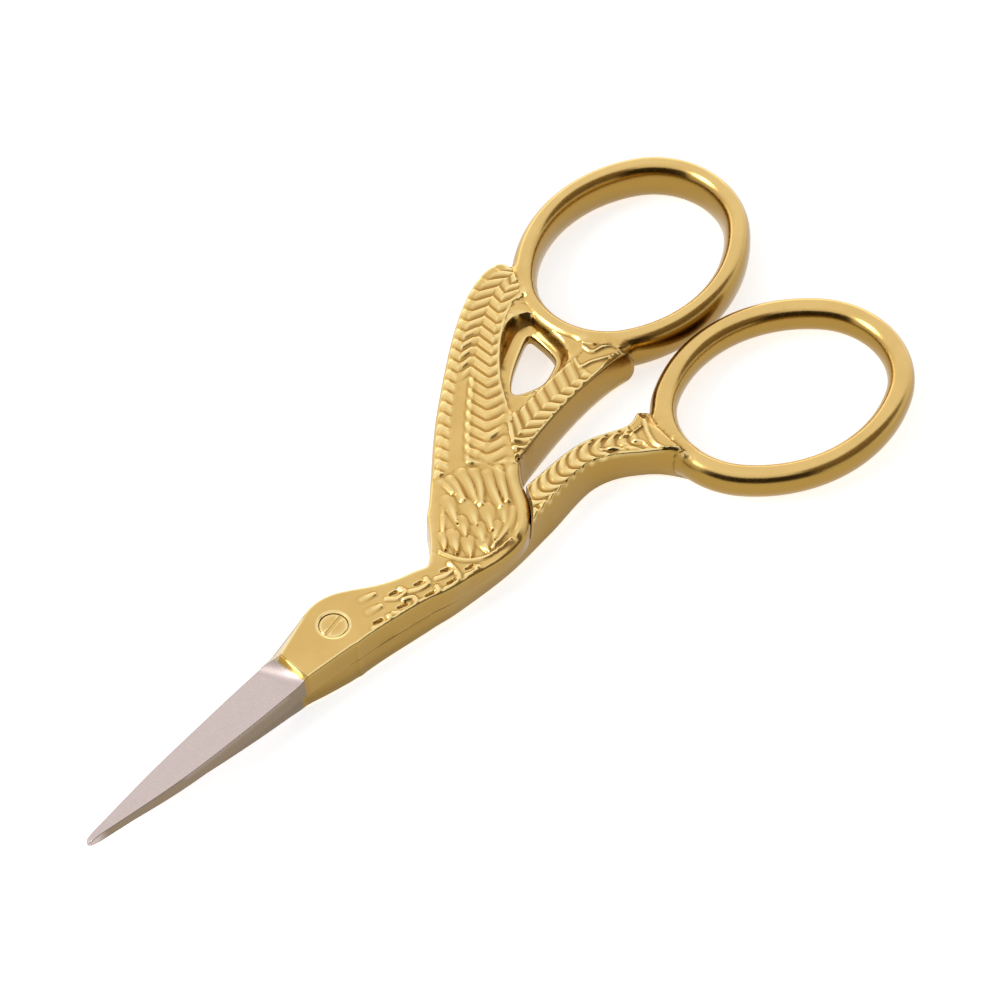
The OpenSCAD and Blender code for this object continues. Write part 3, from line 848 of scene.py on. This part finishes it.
def make_front(plan):
    """Front half: body and leg joined, the back half's place cut out, ring and ledge joined, and
    the screw's bore and seat cut."""
    body = long_limb(plan, plan.body_line, plan.body_halves, BODY_TABLE, BODY_ACROSS)
    leg = short_limb(plan, plan.leg_line, plan.leg_halves, LEG_TABLE)
    body["base"], leg["foot"] = np.array([plan.neck_shift, plan.neck_len]), plan.front_foot
    body["right"] = np.minimum(body["right"], np.interp(body["s"], *np.array(WING_EDGE).T))
    round_end(body, length=.9, dive=.8)
    round_end(leg, length=1.8, dive=.8)
    body["face"] = head_face(plan, body, 1)
    to_ring = partial(ring_distance, plan, plan.front_ring)
    to_leg, to_body = partial(limb_distance, leg), partial(limb_distance, body)
    solid = limb_solid(body, body_relief, (to_leg, to_ring), 1.3)
    obj = mesh_object("front", solid)
    solid = limb_solid(leg, front_leg_relief, (to_body, to_ring), 1.3)
    combine(obj, solid, "UNION")
    lap = plan.lap + plan.lap_gap / 2
    back = outline(plan.back_line, plan.back_halves, plan.seam_gap)
    for tool in (prism(back, -1, lap),
                 box_prism(-FAR, FAR, -FAR, plan.neck_len - .8, -1, lap),
                 box_prism(plan.neck_shift, FAR, 0, plan.crotch_y, -1, lap)):
        combine(obj, tool, "DIFFERENCE")
    combine(obj, ring_solid(plan, plan.front_ring, (to_leg, to_body)), "UNION")
    combine(obj, window_lip(plan, (to_leg, to_body, to_ring)), "UNION")
    bore, top = plan.shank_d / 2 + plan.shank_play, plan.head_h
    seat, floor = plan.screw_d / 2 + plan.screw_groove, top - plan.screw_sink - plan.screw_h
    narrow, wide = seat - SEAT_EDGE, seat + .05
    combine(obj, spun([
        [bore, 1], [bore, floor], [narrow, floor], [narrow, top - .1], [seat, top - .02],
        [wide, top], [wide, top + 1]]), "DIFFERENCE")
    return obj


def make_back(plan):
    """Back half: its limb, made turned over, with the front half's place cut out, the ring joined
    and the screw's hole cut."""
    step = plan.spine_step
    limb = long_limb(plan, plan.back_line, plan.back_halves, BACK_TABLE, BACK_ACROSS, step, -step)
    limb["turned_over"], limb["foot"] = True, plan.back_foot
    round_end(limb, length=1.0, dive=.9)
    limb["face"] = head_face(plan, limb, -1)
    to_ring, to_limb = partial(ring_distance, plan, plan.back_ring), partial(limb_distance, limb)
    obj = mesh_object("back", limb_solid(limb, back_relief, (to_ring,), 1.5))
    lap, top = plan.lap - plan.lap_gap / 2, plan.head_h + 1
    front = outline(plan.body_line, plan.body_halves, plan.seam_gap)
    combine(obj, prism(front, lap, top), "DIFFERENCE")
    combine(obj, box_prism(-FAR, FAR, -FAR, .82 * plan.crotch_y, lap, top), "DIFFERENCE")
    combine(obj, ring_solid(plan, plan.back_ring, (to_limb,)), "UNION")
    hole = plan.thread_d / 2
    combine(obj, spun([[hole, -1], [hole, plan.head_h]]), "DIFFERENCE")
    return obj


def make_screw(plan):
    """Screw turned round the pivot's axis, with a slot milled across its head."""
    top = plan.head_h - plan.screw_sink
    under = top - plan.screw_h + plan.shank_play
    lap = plan.lap - plan.lap_gap / 2
    thread, shank, head = plan.thread_d / 2, plan.shank_d / 2, plan.screw_d / 2
    obj = mesh_object("screw", spun([
        [.4 * thread, .03], [.8 * thread, .03], [thread, .2], [thread, lap], [shank, lap],
        [shank, under], [head - .06, under], [head, under + .06], [head, top - .16],
        [head - .05, top - .07], [head - .14, top - .02], [head - .3, top], [.4 * head, top]]))
    long, wide = plan.screw_d, plan.slot_w / 2
    slot = np.array([[-long, -wide], [long, -wide], [long, wide], [-long, wide]])
    slot = turned(slot, plan.slot_turn)
    combine(obj, prism(slot, top - SLOT_SHARE * plan.slot_h, top + 1), "DIFFERENCE")
    return obj


# Marks that the metal reads, to paint shade in grooves and on walls and highlight on crests

def array_of(items, key, columns=1, kind=float):
    """One value or row of values of each item of a mesh."""
    values = np.empty(len(items) * columns, kind)
    items.foreach_get(key, values)
    return values.reshape(-1, columns) if columns > 1 else values


def mark_hollows(obj, calm):
    """Attribute "hollow" at each vertex: how far the mean of its neighbours stands out along the
    normal, by the mean distance to them. Above 0 in grooves, below 0 on crests. Attribute "wall":
    1 where the surface round a vertex stands upright, 0 where it lies level. Both are weaker round
    the screw, within the radius calm, and 0 on large level faces, where the halves slide on each
    other."""
    mesh = obj.data
    co = array_of(mesh.vertices, "co", 3) / MM
    no = array_of(mesh.vertex_normals, "vector", 3)
    edges = array_of(mesh.edges, "vertices", 2, int)
    a, b = np.r_[edges[:, 0], edges[:, 1]], np.r_[edges[:, 1], edges[:, 0]]
    size = np.linalg.norm(co[b] - co[a], axis=1)
    a, b, size = a[size < LINK], b[size < LINK], size[size < LINK]
    links = np.maximum(np.bincount(a, minlength=len(co)), 1)

    def mean(values):
        """Mean of the values on the edges that leave each vertex."""
        return np.bincount(a, values, len(co)) / links

    hollow = mean(((co[b] - co[a]) * no[a]).sum(1) / np.maximum(size, .02) ** 2)
    hollow = np.clip(hollow, -BEND, BEND)
    for _ in range(3):
        hollow = .4 * hollow + .6 * mean(hollow[b])
    up = np.abs(no[:, 2])
    for _ in range(8):
        up = .3 * up + .7 * mean(up[b])
    near = .4 + .6 * ease(calm, calm + .5, np.hypot(co[:, 0], co[:, 1]))   # 1 off the screw
    hollow = np.where(hollow > 0, hollow * near, hollow)
    wall = (1 - ease(.45, .85, up)) * near
    level = np.abs(array_of(mesh.polygons, "normal", 3)[:, 2]) > .98
    large = array_of(mesh.polygons, "area") / MM ** 2 > PLAIN_AREA
    keep = 1 - np.repeat(level & large, array_of(mesh.polygons, "loop_total", kind=int))
    corners = array_of(mesh.loops, "vertex_index", kind=int)
    for key, mark in (("hollow", hollow), ("wall", wall)):
        mark = (mark[corners] * keep).astype(np.float32)
        mesh.attributes.new(key, "FLOAT", "CORNER").data.foreach_set("value", mark)


# Materials

def linear(color):
    """Colour with an opacity of 1, as sockets want it."""
    return tuple(color) + (1.0,)


class Nodes:
    """Adds shader nodes to a material or world and links their sockets."""

    def __init__(self, owner):
        owner.use_nodes = True
        self.tree = owner.node_tree

    def inputs(self, name):
        """Inputs of a node that was there from the start."""
        return self.tree.nodes[name].inputs

    def add(self, kind, values=(), **settings):
        """New node with values or links on its inputs."""
        node = self.tree.nodes.new("ShaderNode" + kind)
        for key, value in settings.items():
            setattr(node, key, value)
        for key, value in dict(values).items():
            self.put(node.inputs[key], value)
        return node

    def put(self, socket, value):
        """Sets an input, or links another node's output to it."""
        if isinstance(value, bpy.types.NodeSocket):
            self.tree.links.new(value, socket)
        else:
            socket.default_value = value

    def math(self, operation, a, b, c=0.0):
        """Result of a calculation with two or three values."""
        return self.add("Math", {0: a, 1: b, 2: c}, operation=operation).outputs[0]

    def mix(self, factor, a, b):
        """Colour between a and b."""
        return self.add("Mix", {0: factor, 6: a, 7: b}, data_type="RGBA").outputs[2]

    def span(self, value, a, b, low=0.0, high=1.0):
        """Smooth step from low at a to high at b."""
        return self.add("MapRange", {0: value, 1: a, 2: b, 3: low, 4: high},
                        interpolation_type="SMOOTHSTEP").outputs[0]

    def noise(self, place, scale, detail=3.0, rough=.55):
        """Noise between 0 and 1."""
        return self.add("TexNoise", {"Vector": place, "Scale": scale, "Detail": detail,
                                     "Roughness": rough}).outputs[0]

    def seen(self):
        """1 for rays from the camera, off gloss and through glass, 0 for light on the object."""
        rays = self.add("LightPath").outputs
        eye = self.math("MAXIMUM", rays["Is Camera Ray"], rays["Is Glossy Ray"])
        return self.math("MAXIMUM", eye, rays["Is Transmission Ray"])


def new_material(name):
    """Material and its nodes."""
    material = bpy.data.materials.new(name)
    return material, Nodes(material)


def metal(name, side=0):
    """Gilt metal, rougher in its grooves, with painted shade darkening the grooves, painted
    highlight paling the crests, and painted shade on the walls that grows darker downwards. On the
    blades it gives way to ground steel. Side is 1 for the half whose face is up, -1 for the one
    turned over and 0 for a piece without a blade."""
    size, tint_of = sizes(), {k: linear(getattr(colors(), k)) for k in colors().__annotations__}
    material, n = new_material(name)
    place = n.add("TexCoord").outputs["Object"]
    x, y, z = n.add("SeparateXYZ", {0: place}).outputs
    hollow = n.add("Attribute", attribute_name="hollow").outputs["Fac"]
    wall = n.add("Attribute", attribute_name="wall").outputs["Fac"]
    large = n.noise(place, PATCHES, 4.0)
    fine = n.noise(place, GRAIN, 5.0, .6)
    groove = n.span(hollow, .03, .75)
    crest = n.span(hollow, -.06, -.8)

    def cover(share, of, color, key):
        """Lays a colour over another, by a share of a value."""
        return n.mix(n.math("MULTIPLY", of, share), color, tint_of[key])

    color = n.mix(n.span(large, .35, .65), tint_of["gold"], tint_of["gold_warm"])
    # Painted shade: the grooves are coloured darker
    color = cover(.65, groove, color, "gold_groove_shade")
    # Painted highlight: the crests are coloured paler
    color = cover(.75, crest, color, "gold_crest_highlight")
    # Painted shade: upright walls are coloured darker, darkest towards the bottom, in patches
    below = n.math("MULTIPLY", n.span(z, 1.6 * MM, .1 * MM), n.span(large, .2, .6, .55, 1.0))
    side_shade = n.mix(below, tint_of["shaded_wall_gold"], tint_of["gold_low"])
    color = n.mix(n.math("MULTIPLY", wall, .9), color, side_shade)
    rough = n.math("MULTIPLY_ADD", fine, .14, .14)
    rough = n.math("MULTIPLY_ADD", groove, .2, rough)
    if side:
        # The gilding ends on the ramp with an uneven edge, and painted shade darkens its last strip
        # there
        front = -size.head_front
        edge = n.math("ADD", y, n.math("MULTIPLY_ADD", large, .3 * MM, -.15 * MM))
        blade = n.span(edge, front - .3 * MM, front - .5 * MM)
        color = cover(.7, n.span(edge, front + .2 * MM, front), color, "shaded_wall_gold")
        # Ground steel: patches, lines across the blade, and painted shade on its spine and walls,
        # weaker at the tip
        steel = n.mix(n.span(fine, .35, .65, .2, .6), tint_of["steel"], tint_of["steel_deep"])
        across = n.add("Mapping", {"Vector": place, "Scale": (900.0, 9000.0, 2000.0),
                                   "Rotation": (0, 0, .25)}).outputs[0]
        steel = cover(.2, n.span(n.noise(across, 1.0, 2.0), .35, .75), steel, "steel_pale")
        tip = -size.blade_reach
        nose = n.span(y, tip + .5 * MM, tip + 2 * MM, .3, 1.0)
        steel = n.mix(n.math("MULTIPLY", wall, nose), steel, tint_of["steel_wall"])
        if side > 0:
            # Thin gilding on the facet beside the screw
            run = CHEEK_RUN * MM / (size.head_front - .1 * MM)
            cheek = n.math("MULTIPLY_ADD", y, run, CHEEK_X * MM + run * size.head_front)
            cheek = n.span(n.math("ADD", x, cheek), .1 * MM, -.15 * MM)
            cheek = n.math("MULTIPLY", cheek, n.span(y, .2 * MM, -.3 * MM))
            color = cover(.75, cheek, color, "cheek")
        color = n.mix(blade, color, steel)
        rough = n.math("MULTIPLY_ADD", blade, .06, rough)
    height = n.math("MULTIPLY_ADD", n.noise(place, DENTS), 2.0, fine)
    bump = n.add("Bump", {"Height": height, "Strength": .25, "Distance": .01 * MM})
    shader = n.inputs("Principled BSDF")
    n.put(shader["Base Color"], color)
    n.put(shader["Roughness"], rough)
    n.put(shader["Metallic"], 1.0)
    n.put(shader["Normal"], bump.outputs[0])
    return material


# Stage

def make_floor(height, radius=1500, sides=64):
    """White disc under the scissors, which glows only for rays that see it."""
    a = np.linspace(0, 2 * math.pi, sides, endpoint=False)
    rim = np.stack([radius * np.cos(a), radius * np.sin(a), height + 0 * a], -1)
    floor = mesh_object("floor", (rim, [list(range(sides))]))
    material, n = new_material("floor_white")
    shader = n.inputs("Principled BSDF")
    n.put(shader["Base Color"], (.8, .8, .8, 1))
    n.put(shader["Roughness"], .9)
    glow = n.add("Emission", {"Color": (1, 1, 1, 1), "Strength": n.math("MULTIPLY", n.seen(), .62)})
    white = n.tree.nodes["Principled BSDF"].outputs[0]
    both = n.add("AddShader", {0: white, 1: glow.outputs[0]})
    n.put(n.inputs("Material Output")["Surface"], both.outputs[0])
    floor.data.materials.append(material)


def make_world(level):
    """World light at a level, white to the camera and in reflections."""
    world = bpy.context.scene.world or bpy.data.worlds.new("studio")
    bpy.context.scene.world = world
    n = Nodes(world)
    background = n.inputs("Background")
    strength = n.add("MapRange", {"Value": n.seen(), "To Min": level, "To Max": 1.0})
    n.put(background["Strength"], strength.outputs[0])
    n.put(background["Color"], (1, 1, 1, 1))


def aim(obj, place, target):
    """Puts a camera or lamp at a place, with its -Z axis towards the target."""
    bpy.context.scene.collection.objects.link(obj)
    obj.location = Vector(place) * MM
    obj.rotation_euler = (Vector(target) - Vector(place)).to_track_quat("-Z", "Y").to_euler()


def make_lamp(name, place, target, size, watts):
    """Round soft lamp."""
    light = bpy.data.lights.new(name, "AREA")
    light.shape, light.size, light.energy = "DISK", size * MM, watts
    aim(bpy.data.objects.new(name, light), place, target)


def make_card(name, azimuth, low, high, wide, color, radius=600, columns=12):
    """Curved card round the object that only reflections see: part of a cylinder, between two
    heights, over an angle round an azimuth."""
    a = np.radians(np.linspace(azimuth - wide / 2, azimuth + wide / 2, columns))
    x, y = radius * np.sin(a), -radius * np.cos(a)
    p = np.stack([np.tile(x, 2), np.tile(y, 2), np.repeat([low, high], columns)], -1)
    i = np.arange(columns - 1)
    card = mesh_object(name, (p, np.stack([i, i + 1, i + columns + 1, i + columns], 1).tolist()))
    material, n = new_material(name)
    glow = n.add("Emission", {"Color": linear(color), "Strength": 1.0})
    n.put(n.inputs("Material Output")["Surface"], glow.outputs[0])
    card.data.materials.append(material)
    for kind in ("camera", "diffuse", "shadow", "transmission"):
        setattr(card, "visible_" + kind, False)


def make_camera():
    """Long lens at the photograph's angle."""
    camera = bpy.data.objects.new("camera", bpy.data.cameras.new("camera"))
    camera.data.sensor_width, camera.data.lens = 36.0, 159.84
    aim(camera, (166.97, -157.30, 315.20), (-1.28, 22.55, 0))
    bpy.context.scene.camera = camera


# Sizes and colours

def length(name, description, value):
    """Size given in millimetres."""
    return FloatProperty(name=name, description=description, default=value * MM, min=0.0,
                         unit="LENGTH", subtype="DISTANCE", precision=3)


def angle(name, description, value):
    """Angle given in degrees."""
    return FloatProperty(name=name, description=description, default=math.radians(value),
                         subtype="ANGLE")


def tint(name, description, value):
    """Colour given as linear values."""
    return FloatVectorProperty(name=name, description=description, default=value, size=3,
                               subtype="COLOR", min=0.0, max=1.0)


class ScissorSizes(bpy.types.PropertyGroup):
    """Sizes of the scissors, the same as in the solids."""
    blade_reach: length("Blade reach", "From the pivot to the tips", 29.4)
    blade_w: length("Blade width", "Width of a blade at its root", 4.6)
    tip_r: length("Tip radius", "Radius of a blade's tip", .3)
    spine_h: length("Spine height", "Thickness of a blade at the spine, at its root", 1.9)
    tip_h: length("Tip height", "Thickness of a blade at the tip", .5)
    edge_h: length("Edge height", "Thickness of a blade at the cutting edge", .35)
    heel_len: length("Heel length", "Length of the back blade's thick heel", 15.5)
    spine_step: length("Spine step", "How far the back blade stands out beside the front one", .3)
    head_h: length("Head height", "Height of both heads together", 4.6)
    head_w: length("Head width", "Width of a head at the pivot", 6.0)
    head_front: length("Head front", "From the pivot to the front edge of a head", 5.5)
    lap_gap: length("Lap gap", "Gap between the lapped halves", .05)
    seam_gap: length("Seam gap", "Gap at the seams between the halves", .2)
    neck_len: length("Neck length", "From the pivot to the root of the neck", 11.2)
    neck_w: length("Neck width", "Width of the neck", 3.1)
    neck_shift: length("Neck shift", "Sideways place of the neck's root", 3.3)
    breast_w: length("Breast width", "Width of the body at the breast", 9.1)
    wing_w: length("Wing width", "Width of the body at the wing", 7.0)
    wing_bow: length("Wing bow", "How far the wing bows out", 2.1)
    tail_w: length("Tail width", "Width of the tail", 4.3)
    front_leg_w: length("Front leg width", "Width of the front half's leg", 3.0)
    back_leg_w: length("Back leg width", "Width of the back half's leg", 2.2)
    crotch_y: length("Crotch", "From the pivot to the fork of the legs", 22.5)
    foot_w: length("Foot width", "Width of a foot where it meets its ring", 6.0)
    ring_len: length("Ring length", "Length of a ring's middle line", 23.2)
    ring_w: length("Ring width", "Width of a ring's middle line", 18.0)
    ring_end_r: length("Ring end radius", "Radius of a ring's ends", 7.6)
    ring_gap: length("Ring gap", "Gap between the closed rings", .4)
    tube_w: length("Tube width", "Width of a ring's tube", 2.4)
    front_tube_h: length("Front tube height", "Height of the front half's ring", 4.4)
    back_tube_h: length("Back tube height", "Height of the back half's ring", 3.2)
    front_ring_y: length("Front ring place", "From the pivot to the front half's ring", 50.2)
    back_ring_y: length("Back ring place", "From the pivot to the back half's ring", 47.6)
    shank_d: length("Shank diameter", "Diameter of the screw's shank", 1.8)
    shank_play: length("Shank play", "Play round the screw's shank", .03)
    thread_d: length("Thread diameter", "Diameter of the screw's thread", 1.5)
    screw_d: length("Screw head diameter", "Diameter of the screw's head", 2.6)
    screw_h: length("Screw head height", "Height of the screw's head", .8)
    screw_groove: length("Screw groove", "Groove round the screw's head", .2)
    screw_sink: length("Screw sink", "How far the screw's head lies below the face", .08)
    slot_w: length("Slot width", "Width of the screw's slot", .35)
    slot_h: length("Slot depth", "Depth of the screw's slot", .3)
    grain: length("Mesh step", "Distance between the sections of a limb", .1)
    front_turn: angle("Front ring turn", "Turn of the front half's ring", 6)
    back_turn: angle("Back ring turn", "Turn of the back half's ring", 13)
    slot_turn: angle("Slot turn", "Turn of the screw's slot", 100)


class ScissorColors(bpy.types.PropertyGroup):
    """Colours of the gilding and the steel, as linear values, with the painted shade of grooves and
    walls and the painted highlight of crests.
    """
    gold: tint("Gold", "Gilding on flat faces", (.70, .46, .155))
    gold_warm: tint("Warm gold", "Warmer patches of the gilding", (.75, .50, .175))
    # Painted shade in the grooves of the relief
    gold_groove_shade: tint("Deep gold", "Gilding in the grooves", (.30, .165, .035))
    # Painted highlight on the crests and edges
    gold_crest_highlight: tint("Pale gold", "Gilding on crests and edges", (.98, .80, .39))
    # Painted shade on the side walls, also used on the gilding's last strip on the ramp
    shaded_wall_gold: tint("Wall gold", "Gilding on the side walls", (.31, .185, .035))
    # Painted shade at the foot of the side walls
    gold_low: tint("Low gold", "Gilding at the foot of the side walls", (.19, .115, .025))
    cheek: tint("Cheek", "Thin gilding on the slope of the head", (.56, .46, .32))
    steel: tint("Steel", "Ground face of the blades", (.60, .50, .485))
    steel_deep: tint("Deep steel", "Darker patches of the steel", (.55, .455, .43))
    # Painted shade on the blades' spines and walls
    steel_wall: tint("Wall steel", "Spines of the blades", (.22, .165, .11))
    steel_pale: tint("Pale steel", "Grinding lines of the steel", (.70, .62, .58))


def sizes():
    """The sizes in use."""
    return bpy.context.scene.scissor_sizes


def colors():
    """The colours in use."""
    return bpy.context.scene.scissor_colors


def build(make, name, finish, body, node, side=0):
    """Makes one piece from the sizes, with its marks and its metal, and finishes it."""
    plan = Plan(sizes())
    obj = make(plan)
    mark_hollows(obj, plan.screw_d / 2 + CALM)
    finish_piece(obj, name, metal(finish, side), body, node)
    return {"FINISHED"}


class SCISSORS_OT_front(bpy.types.Operator):
    """Makes the front half: blade, head, neck, feathered body, leg and ring"""
    bl_idname = "scissors.front"
    bl_label = "Front half"

    def execute(self, context):
        return build(make_front, "stork_front_half", "gilt_front", "front", "front_half", 1)


class SCISSORS_OT_back(bpy.types.Operator):
    """Makes the back half: blade, head, strip under the body, leg and ring"""
    bl_idname = "scissors.back"
    bl_label = "Back half"

    def execute(self, context):
        return build(make_back, "stork_back_half", "gilt_back", "back", "back_half", -1)


class SCISSORS_OT_screw(bpy.types.Operator):
    """Makes the slotted pivot screw"""
    bl_idname = "scissors.screw"
    bl_label = "Pivot screw"

    def execute(self, context):
        return build(make_screw, "slotted_screw", "gilt_screw", "back", "pivot_screw")


class SCISSORS_OT_stage(bpy.types.Operator):
    """Makes the floor, light and camera"""
    bl_idname = "scissors.stage"
    bl_label = "Stage"

    def execute(self, context):
        context.scene.view_settings.view_transform = "Standard"
        make_floor(-.12)
        make_world(.6)
        make_lamp("key", (-210, -315, 330), (0, 20, 0), 260, 1.0)
        for name, azimuth, low, high, wide, color in (
                ("card_near", 43, 20, 560, 90, (.035, .022, .008)),
                ("card_right", 118, 120, 900, 70, (.22, .16, .08)),
                ("card_light", 243, 0, 150, 90, (1.8, 1.75, 1.6))):
            make_card(name, azimuth, low, high, wide, color)
        make_camera()
        return {"FINISHED"}


class SCISSORS_PT_panel(bpy.types.Panel):
    """Lists the scissors' operators in the sidebar"""
    bl_idname = "SCISSORS_PT_panel"
    bl_label = "Scissors"
    bl_space_type = "VIEW_3D"
    bl_region_type = "UI"
    bl_category = "Scissors"

    def draw(self, context):
        """Shows a button for each operator."""
        for item in OPERATORS:
            self.layout.operator(item.bl_idname)


OPERATORS = (SCISSORS_OT_front, SCISSORS_OT_back, SCISSORS_OT_screw, SCISSORS_OT_stage)
CLASSES = (ScissorSizes, ScissorColors) + OPERATORS + (SCISSORS_PT_panel,)


def register():
    """Registers the classes and hangs the sizes and colours on the scene."""
    for item in CLASSES:
        bpy.utils.register_class(item)
    bpy.types.Scene.scissor_sizes = PointerProperty(type=ScissorSizes)
    bpy.types.Scene.scissor_colors = PointerProperty(type=ScissorColors)


def unregister():
    """Takes everything off again."""
    del bpy.types.Scene.scissor_colors
    del bpy.types.Scene.scissor_sizes
    for item in reversed(CLASSES):
        bpy.utils.unregister_class(item)


def main():
    register()
    bpy.ops.scissors.front()
    bpy.ops.scissors.back()
    bpy.ops.scissors.screw()
    bpy.ops.scissors.stage()


if __name__ == "__main__":
    main()
